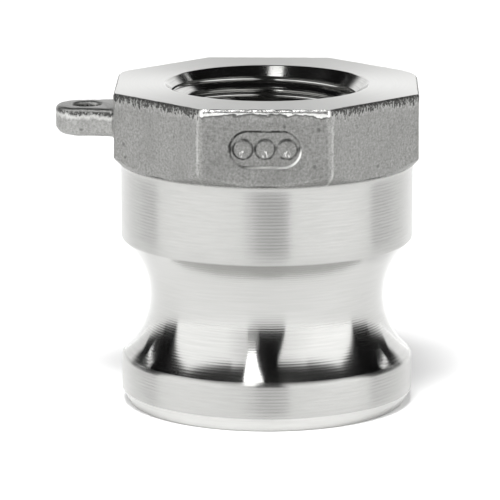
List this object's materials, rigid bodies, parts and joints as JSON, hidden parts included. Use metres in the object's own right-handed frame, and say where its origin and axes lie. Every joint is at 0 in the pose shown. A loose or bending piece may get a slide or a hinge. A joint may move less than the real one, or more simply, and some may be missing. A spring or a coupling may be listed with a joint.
{
  "type": "cam and groove adapter",
  "caption": "Male half of a cam-and-groove pipe coupling: grooved nose, round barrel, octagon wrench collar with a chain lug, and a female pipe thread above a plain waterway.",
  "frame": {"origin": "centre of the nose's end face, on the bore axis", "axes": "+Z along the bore axis, from the nose to the threaded socket; -X towards the chain lug"},
  "size_m": [0.0396, 0.033, 0.0354],
  "materials": {
    "stainless": "austenitic stainless casting, turned bright on the barrel, groove, nose and top face, matt as cast on the octagon and the lug"
  },
  "bodies": {
    "root": {"adapter_body": "stainless"}
  },
  "joints": []
}
